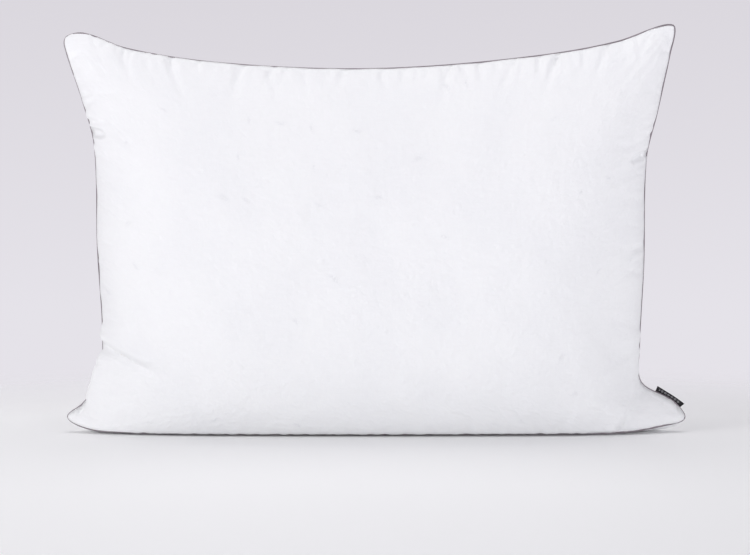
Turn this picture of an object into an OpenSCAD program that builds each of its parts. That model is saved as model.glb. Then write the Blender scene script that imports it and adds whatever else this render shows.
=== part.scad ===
// Bed pillow, feather and down filled, standing on one long edge.
// +X runs along the pillow, -Y is the front face, +Z is up, and z = 0 is the floor.
// The origin is at the bottom centre of the whole pillow.

/* [Pillow] */
// Overall length, from ear to ear
pillow_len = 741; // [705:1:775]
// Overall height, from the floor to the higher top corner
pillow_h = 485; // [465:1:505]
// Distance from the seam plane to the crown of the front face
front_bulge = 80; // [72:1:88]
// Distance from the seam plane to the crown of the back face
back_bulge = 100; // [90:1:106]

/* [Cloth] */
// Thickness of the cotton shells
cloth = 0.5; // [0.4:0.1:0.6]
// Width of the seam allowance inside the pillow
allowance = 8; // [7:0.5:8]
// Gap between the shells and the filling
fill_gap = 0.4; // [0.3:0.1:0.6]

/* [Piping] */
// Diameter of the covered piping
piping_d = 3; // [2.8:0.1:3]
// Thickness of the bias strip that covers the cord
bias_t = 0.25; // [0.2:0.05:0.3]

/* [Labels] */
// Length of the woven label along the seam
label_len = 35; // [25:1:36]
// How far the woven label's fold stands out past the piping's centre
label_out = 7; // [6:0.5:9]
// Distance along the seam from the ear's tip to the woven label
label_from_tip = 13.5; // [12:0.5:15]

/* [Mesh] */
// Cells along the pillow
cells_u = 32; // [24:4:36]
// Cells up the pillow
cells_v = 20; // [16:4:22]

/* [Hidden] */

white_cotton = [0.94, 0.94, 0.96];
down_white = [0.97, 0.96, 0.94];
mauve_grey = [0.5, 0.44, 0.49];
cord_white = [0.9, 0.9, 0.88];
thread_white = [0.85, 0.85, 0.87];
label_black = [0.03, 0.03, 0.03];

// ---- The seam: one closed route, as seen from the front, with each side's corners shared ----
// Its points were chosen at a length of 741 and a height of 485, and are scaled to the sizes above.
route_scale = [pillow_len / 741, 1, pillow_h / 485];
bottom_points = [[-366, 6, 18], [-350, -3, 8], [-318, -15, 3.5], [-200, -25, 2.4], [200, -25, 2.4],
                 [292, -19, 3], [343, -3, 8.5]];
right_points = [[370, 6, 16], [357, 10, 35], [318, 10, 58.5], [315, 7, 100], [319, 7, 200],
                [321, 10, 325], [334, 18, 378], [350, 28, 448]];
top_points = [[356, 33, 481], [342, 32, 482], [288, 31, 463], [200, 30, 447], [60, 30, 433.5],
              [-60, 30, 431], [-200, 30, 439.5], [-295, 31, 455], [-345, 33, 472.8]];
left_points = [[-365, 33, 469.5], [-368, 32, 460], [-346, 23, 394], [-331, 13, 340], [-328, 7, 220],
               [-323, 7, 112], [-329, 8, 58], [-349, 10, 32]];
route = [for (p = concat(bottom_points, right_points, top_points, left_points))
         [for (axis = [0:2]) p[axis] * route_scale[axis]]];
route_n = len(route);
right_at = len(bottom_points);
top_at = right_at + len(right_points);
left_at = top_at + len(top_points);

function route_point(i) = route[(i + route_n) % route_n];
function route_step(i) = norm(route_point(i + 1) - route_point(i));
function route_slope(i) = (route_point(i + 1) - route_point(i - 1)) / (route_step(i) + route_step(i - 1));

// A point on the smooth curve from route point i to the next, for t from 0 to 1
function on_curve(i, t) =
    let (a = route_point(i), b = route_point(i + 1), d = route_step(i))
    a * (2 * pow(t, 3) - 3 * pow(t, 2) + 1) + route_slope(i) * d * (pow(t, 3) - 2 * pow(t, 2) + t)
    + b * (3 * pow(t, 2) - 2 * pow(t, 3)) + route_slope(i + 1) * d * (pow(t, 3) - pow(t, 2));

curve_steps = 8;
function side_curve(from, to) =
    concat([for (i = [from:to - 1]) for (k = [0:curve_steps - 1]) on_curve(i, k / curve_steps)],
           [route_point(to)]);
function run_lengths(p) =
    [for (i = 0, s = 0; i < len(p); s = s + (i + 1 < len(p) ? norm(p[i + 1] - p[i]) : 0), i = i + 1) s];

// The point at distance s along the polyline p, whose run lengths are c
function at_length(p, c, s) =
    let (k = min(len(p) - 2, max([for (i = [0:len(p) - 2]) if (c[i] <= s + 1e-6) i])),
         f = (s - c[k]) / (c[k + 1] - c[k]))
    p[k] + (p[k + 1] - p[k]) * f;
function spaced(p, shares) = let (c = run_lengths(p)) [for (f = shares) at_length(p, c, f * c[len(c) - 1])];
function reversed(p) = [for (i = [len(p) - 1:-1:0]) p[i]];

// The cells are narrow beside the seam and wide in the middle of the face
edge_crowding = 0.75;
function crowded(n) =
    [for (i = [0:n]) (1 - edge_crowding) * i / n + edge_crowding * (1 - cos(180 * i / n)) / 2];
share_u = crowded(cells_u);
share_v = crowded(cells_v);

bottom_side = spaced(side_curve(0, right_at), share_u);
right_side = spaced(side_curve(right_at, top_at), share_v);
top_side = spaced(reversed(side_curve(top_at, left_at)), share_u);
left_side = spaced(reversed(side_curve(left_at, route_n)), share_v);

// ---- The ring: the same points in order, and the seam's own axes at each ----
// [i, j] of every cell corner on the boundary, counter-clockwise from the lower left ear
function rim(i0, i1, j0, j1) =
    concat([for (i = [i0:i1 - 1]) [i, j0]], [for (j = [j0:j1 - 1]) [i1, j]],
           [for (i = [i1:-1:i0 + 1]) [i, j1]], [for (j = [j1:-1:j0 + 1]) [i0, j]]);
ring_cells = rim(0, cells_u, 0, cells_v);
ring_n = len(ring_cells);
function side_point(c) =
    c[1] == 0 ? bottom_side[c[0]]
    : c[0] == cells_u ? right_side[c[1]]
    : c[1] == cells_v ? top_side[c[0]]
    : left_side[c[1]];
ring = [for (c = ring_cells) side_point(c)];
corner_at = [0, cells_u, cells_u + cells_v, 2 * cells_u + cells_v];

function unit(v) = v / norm(v);
// [centre, outward, backward] of the seam at ring point k
function seam_axes(k) =
    let (along = unit(ring[(k + 1) % ring_n] - ring[(k + ring_n - 1) % ring_n]),
         back = unit([0, 1, 0] - along * along[1]))
    [ring[k], cross(back, along), back];
axes_at = [for (k = [0:ring_n - 1]) seam_axes(k)];

// The allowance is trimmed at the corners, so that it lies flat there
edge_in = piping_d / 2 + 0.4;
turn_in = 3;
function corner_steps(k) = min([for (c = corner_at) min(abs(k - c), ring_n - abs(k - c))]);
trim_near_corner = [0.35, 0.6, 0.85];
function trim(k) = let (d = corner_steps(k)) d < len(trim_near_corner) ? trim_near_corner[d] : 1;
function trimmed(out, share) = out > -turn_in ? out : -turn_in + (out + turn_in) * share;

// A point of the seam's cross-section: out from the seam's centre, back across it
function seam_point(axes, out, back) = axes[0] + axes[1] * out + axes[2] * back;
function loop(out, back) = [for (k = [0:ring_n - 1]) seam_point(axes_at[k], trimmed(out, trim(k)), back)];

// ---- The layers across the seam, from front to back ----
layer_gap = 0.1;
slit = 0.1;
label_layer = 0.2;
bias_out = slit + bias_t;
front_near = -(bias_out + layer_gap);
front_far = front_near - cloth;
label_gap = 0.12;
label_near = bias_out + label_gap;
label_far = label_near + 2 * label_layer + layer_gap;
back_near = label_far + label_gap;
back_far = back_near + cloth;

// ---- The two faces: a patch spanned by the seam's four sides, swelling out of its plane ----
function patch(i, j) =
    let (u = share_u[i], v = share_v[j])
    bottom_side[i] * (1 - v) + top_side[i] * v + left_side[j] * (1 - u) + right_side[j] * u
    - bottom_side[0] * (1 - u) * (1 - v) - bottom_side[cells_u] * u * (1 - v)
    - top_side[0] * (1 - u) * v - top_side[cells_u] * u * v;

// 0 at the seam, 1 at the crown: blunt along the length, rounder up the height
function swell_along(u) = pow(1 - pow(abs(2 * u - 1), 4), 0.6);
function swell_up(v) = pow(1 - pow(abs(2 * v - 1), 2.6), 0.75);
function swell(i, j) = swell_along(share_u[i]) * swell_up(share_v[j]);

// The back is pressed flat where it rests on the floor, and rounds up from there
press_depth = 120;
press_round = 20;
press_sink = 3;
function pressed(z, u, v) =
    let (w = z - press_depth * swell_along(u) * pow(1 - v, 3))
    max(0, (w + sqrt(w * w + press_round * press_round)) / 2 - press_sink * (1 - v));

function on_rim(i, j) = i == 0 || j == 0 || i == cells_u || j == cells_v;
function rim_index(i, j) = search([[i, j]], ring_cells)[0];
function rim_grid(loop_points, inner) =
    [for (j = [0:cells_v]) [for (i = [0:cells_u])
        on_rim(i, j) ? loop_points[rim_index(i, j)] : inner[j][i]]];

// Even an ear's tip is this far from the seam plane on each side, to leave room for the allowance
least_swell = 9;
// The front's lowest points stay this far above the floor
front_clear = 0.3;
front_free = [for (j = [0:cells_v]) [for (i = [0:cells_u])
    let (p = patch(i, j))
    [p[0], p[1] - max(least_swell, front_bulge * swell(i, j)), max(front_clear, p[2])]]];
back_free = [for (j = [0:cells_v]) [for (i = [0:cells_u])
    let (p = patch(i, j))
    [p[0], p[1] + max(least_swell, back_bulge * swell(i, j)), pressed(p[2], share_u[i], share_v[j])]]];

front_outer = rim_grid(loop(-edge_in, front_near), front_free);
back_outer = rim_grid(loop(-edge_in, back_near), back_free);

// The direction out of the pillow at a corner inside a grid; side is -1 for the front, 1 for the back
function outward(g, i, j, side) = unit(cross(g[j + 1][i] - g[j - 1][i], g[j][i + 1] - g[j][i - 1])) * side;
function raised(g, i, j, side, by) = g[j][i] + outward(g, i, j, side) * by;
function raised_grid(g, side, by) =
    [for (j = [0:cells_v]) [for (i = [0:cells_u]) on_rim(i, j) ? g[j][i] : raised(g, i, j, side, by)]];
function part_grid(g, side, by, i0, i1, j0, j1) =
    [for (j = [j0:j1]) [for (i = [i0:i1]) raised(g, i, j, side, by)]];

// ---- Solids from grids and loops ----
function flat_list(g) = [for (row = g) for (p = row) p];
function grid_faces(cols, rows, base, flip) =
    [for (j = [0:rows - 2]) for (i = [0:cols - 2])
        let (a = base + j * cols + i, b = a + 1, c = a + cols + 1, d = a + cols)
        each (flip ? [[a, b, c], [a, c, d]] : [[a, c, b], [a, d, c]])];
function rim_ids(cols, rows, base) = [for (c = rim(0, cols - 1, 0, rows - 1)) base + c[1] * cols + c[0]];
function band_faces(low, high, flip) =
    [for (k = [0:len(low) - 1])
        let (a = low[k], b = low[(k + 1) % len(low)], c = high[(k + 1) % len(low)], d = high[k])
        each (flip ? [[a, c, b], [a, d, c]] : [[a, b, c], [a, c, d]])];

// A closed solid between two grids of one size, joined at their edges by way of the given loops
module slab(near, far, loops = [], flip = false) {
    cols = len(near[0]);
    rows = len(near);
    size = cols * rows;
    count = len(loops) == 0 ? 0 : len(loops[0]);
    chain = concat([rim_ids(cols, rows, 0)],
                   [for (n = [0:1:len(loops) - 1]) [for (k = [0:count - 1]) 2 * size + n * count + k]],
                   [rim_ids(cols, rows, size)]);
    polyhedron(points = concat(flat_list(near), flat_list(far), flat_list(loops)),
               faces = concat(grid_faces(cols, rows, 0, flip), grid_faces(cols, rows, size, !flip),
                              [for (n = [0:len(chain) - 2]) each band_faces(chain[n], chain[n + 1], flip)]),
               convexity = 6);
}

// A closed tube around the whole seam, with the given cross-section of [out, back] points.
// Its faces are split the same way as the shells' turned-in edges, so that the layers stay apart.
module seam_tube(section) {
    m = len(section);
    polyhedron(points = [for (k = [0:ring_n - 1]) for (s = section)
                         seam_point(axes_at[k], trimmed(s[0], trim(k)), s[1])],
               faces = [for (k = [0:ring_n - 1]) for (s = [0:m - 1])
                        let (a = k * m + s, b = k * m + (s + 1) % m,
                             d = ((k + 1) % ring_n) * m + s, c = ((k + 1) % ring_n) * m + (s + 1) % m)
                        each (section[s][1] < 0 ? [[a, d, b], [b, d, c]] : [[a, c, b], [a, d, c]])],
               convexity = 6);
}
function arc(r, from, to, n) =
    [for (k = [0:n]) let (a = from + (to - from) * k / n) [r * cos(a), r * sin(a)]];

// ---- Sub-parts ----
// Each shell turns in at the seam and ends in a raw edge inside the pillow
turn_width = 1;
module shell(outer, side, near, far) {
    raw = [loop(-allowance, near), loop(-allowance, far)];
    lining = rim_grid(loop(-edge_in - turn_width, far), raised_grid(outer, side, -cloth));
    slab(outer, lining, raw, flip = side > 0);
}
module front_panel() color(white_cotton) shell(front_outer, -1, front_near, front_far);
module back_panel() color(white_cotton) shell(back_outer, 1, back_near, back_far);

// The filling starts this many cells in from the seam, and one more at the bottom, clear of the stitching
fill_from = 2;
fill_from_bottom = 3;
module down_fill() {
    function filled(outer, side) = part_grid(outer, side, -(cloth + fill_gap), fill_from, cells_u - fill_from,
                                             fill_from_bottom, cells_v - fill_from);
    color(down_white) slab(filled(front_outer, -1), filled(back_outer, 1));
}

// A bias strip wraps the cord, and its two edges run into the seam allowance
cord_room = piping_d / 2 - bias_t - 0.05;
cord_slack = 0.2;
module piping_cover() {
    neck = asin(bias_out / (piping_d / 2));
    slot = asin(slit / cord_room);
    wrap = arc(piping_d / 2, -180 + neck, 180 - neck, 8);
    lining = reversed(arc(cord_room, -180 + slot, 180 - slot, 6));
    back_edge = [[-allowance, bias_out], [-allowance, slit]];
    front_edge = [[-allowance, -slit], [-allowance, -bias_out]];
    color(mauve_grey) seam_tube(concat(wrap, back_edge, lining, front_edge));
}
module piping_cord() {
    color(cord_white) seam_tube([for (k = [0:5]) (cord_room - cord_slack) * [cos(60 * k), sin(60 * k)]]);
}

// One thread of the lockstitch lies on each side of the allowance
stitch_in = 4.2;
thread_r = 0.2;
thread_gap = 0.05;
module thread(back) color(thread_white)
    seam_tube([for (k = [0:3]) [-stitch_in, back] + thread_r * [cos(90 * k), sin(90 * k)]]);
module needle_thread() thread(front_far - thread_r - thread_gap);
module bobbin_thread() thread(back_far + thread_r + thread_gap);

// The overlock wraps the raw edges of all the layers
module overlock_stitch() {
    lap = allowance - 2;
    end = allowance + 0.5;
    clear = 0.1;
    t = 0.25;
    front = front_far - clear;
    back = back_far + clear;
    color(thread_white)
        seam_tube([[-lap, front], [-end, front], [-end, back], [-lap, back], [-lap, back + t],
                   [-end - t, back + t], [-end - t, front - t], [-lap, front - t]]);
}

// The opening for the filling was sewn shut along the left side, beside the piping, on the back
closing_from = 9;
closing_to = 14;
stitches_per_cell = 7;
stitch_share = 0.62;
// Each stitch lies between these shares of the first cell's width, and between these heights over the cloth
bar_across = [0.40, 0.46];
bar_height = [0.25, 0.75];
module closing_stitch() {
    color(thread_white)
        for (j = [closing_from:closing_to - 1])
            for (s = [0:stitches_per_cell - 1])
                closing_bar(j, s / stitches_per_cell, (s + stitch_share) / stitches_per_cell);
}
module closing_bar(j, from, to) {
    edge = [back_outer[j][0], back_outer[j + 1][0]];
    inside = [back_outer[j][1], back_outer[j + 1][1]];
    out = unit(cross(inside[0] - edge[0], edge[1] - edge[0])) * -1;
    function spot(f, across, up) = (edge[0] + (edge[1] - edge[0]) * f) * (1 - across)
        + (inside[0] + (inside[1] - inside[0]) * f) * across + out * up;
    function square_grid(up) = [for (f = [from, to]) [for (across = bar_across) spot(f, across, up)]];
    slab(square_grid(bar_height[1]), square_grid(bar_height[0]), flip = true);
}

// The woven label is a folded tape: both ends are caught in the seam behind the bias strip
label_stations = 5;
label_trim = 0.85;
module woven_label() {
    reach = piping_d / 2 + 0.15;
    far = reach + 2 * label_layer + layer_gap;
    tail = allowance - 1.5;
    skin = label_layer;
    outside = [[-tail, label_near], [-1.75, label_near], [-1.2, 1.15], [-0.4, reach - 0.03], [0.6, reach],
               [label_out, reach], [label_out, far], [0.6, far], [-0.6, far - 0.03], [-1.65, 1.5],
               [-1.82, label_far], [-tail, label_far]];
    inside = [[-tail, label_near + skin], [-1.72, label_near + skin], [-1.3, 1.3], [-0.5, reach + 0.17],
              [0.6, reach + skin], [label_out - skin, reach + skin], [label_out - skin, far - skin],
              [0.6, far - skin], [-0.55, far - 0.23], [-1.5, 1.42], [-1.72, label_far - skin],
              [-tail, label_far - skin]];
    run = run_lengths(right_side);
    function station(s) =
        let (k = max([for (j = [0:cells_v - 1]) if (run[j] <= s) j]),
             f = (s - run[k]) / (run[k + 1] - run[k]), low = axes_at[cells_u + k],
             high = axes_at[cells_u + k + 1])
        [for (part = [0:2]) low[part] * (1 - f) + high[part] * f];
    function sheet(line) = [for (k = [0:label_stations - 1])
        let (axes = station(label_from_tip + label_len * k / (label_stations - 1)))
        [for (p = line) seam_point(axes, trimmed(p[0], label_trim), p[1])]];
    color(label_black) slab(sheet(outside), sheet(inside));
}

// The care label is caught in the left seam and lies on the back
care_row = 7;
care_cells = 4;
care_height = [0.25, 0.6];
module care_label() {
    function lifted(by) = [for (j = [care_row, care_row + 1]) [for (i = [1:care_cells])
        raised(back_outer, i, j, 1, by)]];
    function at_seam(out, back) = [for (j = [care_row, care_row + 1])
        let (k = ring_n - j) seam_point(axes_at[k], out, back)];
    function joined(points, rows) = [for (n = [0:1]) concat([for (p = points) p[n]], rows[n])];
    tail = allowance - 1.5;
    color(white_cotton)
        slab(joined([at_seam(-tail, label_near), at_seam(-1.75, label_near), at_seam(-1.4, 1.25)],
                    lifted(care_height[1])),
             joined([at_seam(-tail, label_far - 0.1), at_seam(-1.85, label_far - 0.1), at_seam(-1.75, 1.25)],
                    lifted(care_height[0])), flip = true);
}

front_panel();
back_panel();
down_fill();
piping_cover();
piping_cord();
needle_thread();
bobbin_thread();
overlock_stitch();
closing_stitch();
woven_label();
care_label();
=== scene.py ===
"""A bed pillow: a white cotton shell over a down filling, with a piped seam, standing on one long edge."""

import math

import bpy
import numpy as np
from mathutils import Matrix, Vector


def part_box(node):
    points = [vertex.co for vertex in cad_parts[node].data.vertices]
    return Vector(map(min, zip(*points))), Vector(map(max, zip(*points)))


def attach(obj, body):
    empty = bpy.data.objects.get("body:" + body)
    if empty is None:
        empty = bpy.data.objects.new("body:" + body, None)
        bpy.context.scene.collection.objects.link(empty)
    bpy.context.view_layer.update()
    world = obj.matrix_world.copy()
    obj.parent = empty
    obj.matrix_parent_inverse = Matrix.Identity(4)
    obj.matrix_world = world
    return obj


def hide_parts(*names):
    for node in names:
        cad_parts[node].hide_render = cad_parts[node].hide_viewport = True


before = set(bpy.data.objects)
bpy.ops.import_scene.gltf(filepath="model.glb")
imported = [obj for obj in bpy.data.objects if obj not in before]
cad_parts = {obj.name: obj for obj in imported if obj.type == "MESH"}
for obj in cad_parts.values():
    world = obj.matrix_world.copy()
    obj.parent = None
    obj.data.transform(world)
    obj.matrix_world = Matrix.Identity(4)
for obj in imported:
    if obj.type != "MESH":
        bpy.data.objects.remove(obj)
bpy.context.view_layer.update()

MM = 0.001

# ---- The seam's route, in millimetres, the same points as the part's ----
BOTTOM = [(-366, 6, 18), (-350, -3, 8), (-318, -15, 3.5), (-200, -25, 2.4), (200, -25, 2.4), (292, -19, 3),
          (343, -3, 8.5)]
RIGHT = [(370, 6, 16), (357, 10, 35), (318, 10, 58.5), (315, 7, 100), (319, 7, 200), (321, 10, 325),
         (334, 18, 378), (350, 28, 448)]
TOP = [(356, 33, 481), (342, 32, 482), (288, 31, 463), (200, 30, 447), (60, 30, 433.5), (-60, 30, 431),
       (-200, 30, 439.5), (-295, 31, 455), (-345, 33, 472.8)]
LEFT = [(-365, 33, 469.5), (-368, 32, 460), (-346, 23, 394), (-331, 13, 340), (-328, 7, 220),
        (-323, 7, 112), (-329, 8, 58), (-349, 10, 32)]

# ---- Sizes, in metres ----
CUT_LENGTH, CUT_HEIGHT = 0.750, 0.500
FRONT_BULGE, BACK_BULGE = 0.075, 0.095
PRESS_DEPTH, PRESS_ROUND = 0.120, 0.020
PIPING_R = 1.5 * MM
BIAS_T = 0.25 * MM
SLIT = 0.1 * MM
ALLOWANCE = 8 * MM
PANEL_LAYER = 0.45 * MM
STITCH_IN = 4.2 * MM
OVERLOCK_FACE = 1.35 * MM
OVERLOCK_WALL = 0.25 * MM
THREAD_R = 0.2 * MM
LABEL_T = 0.2 * MM
LABEL_FROM_TIP, LABEL_LENGTH, LABEL_OUT = 13.5 * MM, 35 * MM, 7 * MM
CARE_WIDTH, CARE_LENGTH, CARE_T = 38 * MM, 52 * MM, 0.25 * MM
FILL_DEPTH = 3 * MM
FLOOR_GAP = 0.2 * MM
ROLL_REACH = 8 * MM
CORNER_TRIM, CORNER_REACH = 0.35, 22 * MM
BESIDE_SEAM = 3 * MM

# The folded label's path across the seam: out and back, in millimetres, from one caught end to the other.
# Its first ten points are the leaf that shows, and LEAF_MIDDLE is how far along the path its middle lies.
LABEL_PATH = [(-6.5, 0.57), (-4.0, 0.57), (-2.0, 0.60), (-1.5, 1.05), (-0.9, 1.50), (0.0, 1.74),
              (1.5, 1.76), (3.5, 1.76), (5.5, 1.78), (6.6, 1.80), (6.95, 1.93), (6.95, 2.05), (6.6, 2.18),
              (5.5, 2.20), (3.5, 2.16), (1.5, 2.10), (0.0, 2.05), (-1.1, 1.85), (-1.75, 1.35),
              (-2.2, 0.88), (-4.0, 0.85), (-6.5, 0.85)]
LABEL_RUN = np.r_[0, np.cumsum(np.linalg.norm(np.diff(np.array(LABEL_PATH) * MM, axis=0), axis=1))]
LEAF_MIDDLE = float(np.interp(4.0, [out for out, _ in LABEL_PATH[:10]], LABEL_RUN[:10]))

# ---- How finely the cloth is meshed: cells of the simulation, halved once afterwards ----
CELLS_U, CELLS_V = 168, 112
FINE_U, FINE_V = 2 * CELLS_U, 2 * CELLS_V


# ---- Small helpers for points and noise ----
def unit(v):
    return v / np.linalg.norm(v, axis=-1, keepdims=True)


def smoothstep(low, high, x):
    t = np.clip((x - low) / (high - low), 0, 1)
    return t * t * (3 - 2 * t)


def rolling(points, wavelength, seed, waves=18):
    """Soft random hills from -1 to 1, about a wavelength apart, at each of the points."""
    rng = np.random.default_rng(seed)
    total = np.zeros(points.shape[:-1])
    for _ in range(waves):
        direction = unit(rng.normal(size=points.shape[-1]))
        turns = points @ direction * 2 * math.pi / (wavelength * rng.uniform(0.7, 1.5))
        total += np.sin(turns + rng.uniform(0, 6.3))
    return total / math.sqrt(2 * waves)


# ---- The seam as a smooth closed curve ----
def route_curve(steps=16):
    """The curve of each of the seam's four sides, as points close together."""
    points = np.array(BOTTOM + RIGHT + TOP + LEFT, float) * MM
    following, before = np.roll(points, -1, 0), np.roll(points, 1, 0)
    step = np.linalg.norm(following - points, axis=1)
    slope = (following - before) / (step + np.roll(step, 1))[:, None]
    t = (np.arange(steps) / steps)[:, None]
    pieces = [points[i] * (2 * t**3 - 3 * t**2 + 1) + slope[i] * step[i] * (t**3 - 2 * t**2 + t)
              + following[i] * (3 * t**2 - 2 * t**3) + np.roll(slope, -1, 0)[i] * step[i] * (t**3 - t**2)
              for i in range(len(points))]
    starts = np.cumsum([0, len(BOTTOM), len(RIGHT), len(TOP), len(LEFT)])
    corners = np.concatenate([points, points[:1]])
    return [np.concatenate(pieces[a:b] + [corners[b:b + 1]]) for a, b in zip(starts[:-1], starts[1:])]


def evenly(curve, count):
    """Points at equal distances along a curve."""
    run = np.r_[0, np.cumsum(np.linalg.norm(np.diff(curve, axis=0), axis=1))]
    at = np.linspace(0, run[-1], count + 1)
    return np.stack([np.interp(at, run, curve[:, axis]) for axis in range(3)], 1)


def seam_sides(count_u, count_v):
    """Bottom, right, top and left sides, each from left to right or from the bottom up."""
    bottom, right, top, left = route_curve()
    return (evenly(bottom, count_u), evenly(right, count_v),
            evenly(top[::-1], count_u), evenly(left[::-1], count_v))


def rim_order(count_u, count_v):
    """Grid places around the rim, counter-clockwise from the lower left ear."""
    return ([(i, 0) for i in range(count_u)] + [(count_u, j) for j in range(count_v)]
            + [(i, count_v) for i in range(count_u, 0, -1)] + [(0, j) for j in range(count_v, 0, -1)])


class Seam:
    """The seam's ring of points, with the directions along it, out of the pillow and towards its back."""

    def __init__(self, count_u, count_v):
        bottom, right, top, left = seam_sides(count_u, count_v)
        self.places = rim_order(count_u, count_v)
        self.ring = np.concatenate([bottom[:-1], right[:-1], top[:0:-1], left[:0:-1]])
        self.along = unit(np.roll(self.ring, -1, 0) - np.roll(self.ring, 1, 0))
        self.back = unit(np.array([0, 1, 0]) - self.along * self.along[:, 1:2])
        self.out = np.cross(self.back, self.along)
        step = np.linalg.norm(np.roll(self.ring, -1, 0) - self.ring, axis=1)
        self.run = np.r_[0, np.cumsum(step)]
        corners = self.run[[0, count_u, count_u + count_v, 2 * count_u + count_v]]
        gap = np.abs(self.run[:-1, None] - corners)
        from_corner = np.minimum(gap, self.run[-1] - gap).min(1)
        self.trim = CORNER_TRIM + (1 - CORNER_TRIM) * smoothstep(0, CORNER_REACH, from_corner)
        self.right_start = count_u

    def loop(self, out, back):
        """The ring moved out and back; what lies deep inside is trimmed towards the corners."""
        turn = 3 * MM
        out = np.broadcast_to(out, len(self.ring)).astype(float)
        reach = np.where(out > -turn, out, -turn + (out + turn) * self.trim)
        back = np.broadcast_to(back, len(self.ring))
        return self.ring + self.out * reach[:, None] + self.back * back[:, None]

    def at(self, distance):
        """The seam's centre and axes at a distance along the ring."""
        k = int(np.searchsorted(self.run, distance, "right")) - 1
        f = (distance - self.run[k]) / (self.run[k + 1] - self.run[k])
        n = len(self.ring)
        return [a[k % n] * (1 - f) + a[(k + 1) % n] * f for a in (self.ring, self.out, self.back)]


# ---- The shell's shape: a start from the seam, then filled by a cloth simulation ----
def shares(count_u, count_v):
    return np.meshgrid(np.linspace(0, 1, count_u + 1), np.linspace(0, 1, count_v + 1), indexing="ij")


def seam_patch(count_u, count_v):
    """The surface spanned by the seam's four sides."""
    bottom, right, top, left = seam_sides(count_u, count_v)
    u, v = (s[..., None] for s in shares(count_u, count_v))
    between_sides = bottom[:, None] * (1 - v) + top[:, None] * v + left[None] * (1 - u) + right[None] * u
    corners = (bottom[0] * (1 - u) * (1 - v) + bottom[-1] * u * (1 - v)
               + top[0] * (1 - u) * v + top[-1] * u * v)
    return between_sides - corners


def swell_along(u):
    return (1 - np.abs(2 * u - 1)**4)**0.6


def swell_up(v):
    return (1 - np.abs(2 * v - 1)**2.6)**0.75


def start_shape():
    """The front and back faces, swollen out of the seam, with the back pressed onto the floor."""
    u, v = shares(CELLS_U, CELLS_V)
    front = seam_patch(CELLS_U, CELLS_V)
    back = front.copy()
    front[..., 1] -= FRONT_BULGE * swell_along(u) * swell_up(v)
    back[..., 1] += BACK_BULGE * swell_along(u) * swell_up(v)
    least_height, sink = 0.5 * MM, 3 * MM
    low = back[..., 2] - PRESS_DEPTH * swell_along(u) * (1 - v)**3
    pressed = np.maximum(least_height, (low + np.sqrt(low**2 + PRESS_ROUND**2)) / 2 - sink * (1 - v))
    back[..., 2] = np.where(off_rim(u, v), pressed, back[..., 2])
    return front, back


def off_rim(u, v):
    return (u > 0) & (u < 1) & (v > 0) & (v < 1)


def flat_cut():
    """The flat panel: the cut's own size in the middle, and a little longer than the seam at its sides."""
    u, v = shares(CELLS_U, CELLS_V)
    ease, reach = 1.05, 70 * MM
    bottom, right, top, left = [np.linalg.norm(np.diff(side, axis=0), axis=1).sum() * ease
                                for side in seam_sides(CELLS_U, CELLS_V)]
    to_top, to_bottom = np.exp((v - 1) * CUT_HEIGHT / reach), np.exp(-v * CUT_HEIGHT / reach)
    to_right, to_left = np.exp((u - 1) * CUT_LENGTH / reach), np.exp(-u * CUT_LENGTH / reach)
    width = CUT_LENGTH + to_top * (top - CUT_LENGTH) + to_bottom * (bottom - CUT_LENGTH)
    height = CUT_HEIGHT + to_right * (right - CUT_HEIGHT) + to_left * (left - CUT_HEIGHT)
    return np.stack([(u - 0.5) * width, 0 * u, (v - 0.5) * height], -1)


def plain_object(name, points, faces):
    mesh = bpy.data.meshes.new(name)
    mesh.from_pydata(np.asarray(points).tolist(), [], np.asarray(faces).tolist())
    made = bpy.data.objects.new(name, mesh)
    bpy.context.scene.collection.objects.link(made)
    return made


def grid_quads(ids, flip=False):
    quads = np.stack([ids[:-1, :-1], ids[1:, :-1], ids[1:, 1:], ids[:-1, 1:]], -1).reshape(-1, 4)
    return quads[:, ::-1] if flip else quads


def fill_with_down(front, back):
    """Blows the shell up as a cloth with its seam held in place, standing on the floor."""
    frames, inside = 24, off_rim(*shares(CELLS_U, CELLS_V))
    front_ids = np.arange(front[..., 0].size).reshape(front.shape[:2])
    back_ids = front_ids.copy()
    back_ids[inside] = front_ids.size + np.arange(inside.sum())
    cut = flat_cut()
    shell = plain_object("shell", np.concatenate([front.reshape(-1, 3), back[inside]]),
                         np.concatenate([grid_quads(front_ids), grid_quads(back_ids, True)]))
    floor = plain_object("rest", [(-1, -1, 0), (1, -1, 0), (1, 1, 0), (-1, 1, 0)], [(0, 1, 2, 3)])
    floor.modifiers.new("rest", "COLLISION")
    floor.collision.thickness_outer = 1 * MM
    shell.shape_key_add(name="filled")
    cut_key = shell.shape_key_add(name="cut")
    cut_key.data.foreach_set("co", np.concatenate([cut.reshape(-1, 3), cut[inside]]).ravel())
    cut_key.value = 0
    shell.vertex_groups.new(name="seam").add(front_ids[~inside].tolist(), 1, "REPLACE")
    cloth = shell.modifiers.new("cloth", "CLOTH")
    set_cambric_behaviour(cloth, cut_key)
    cloth.point_cache.frame_start, cloth.point_cache.frame_end = 1, frames
    bpy.context.scene.frame_start, bpy.context.scene.frame_end = 1, frames
    for number in range(1, frames + 1):
        bpy.context.scene.frame_set(number)
    filled = shell.evaluated_get(bpy.context.evaluated_depsgraph_get())
    points = np.empty(len(shell.data.vertices) * 3, np.float32)
    filled.data.vertices.foreach_get("co", points)
    points = points.reshape(-1, 3).astype(float)
    for used in (shell, floor):
        bpy.data.objects.remove(used)
    bpy.context.scene.frame_set(1)
    return points[front_ids], points[back_ids]


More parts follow.
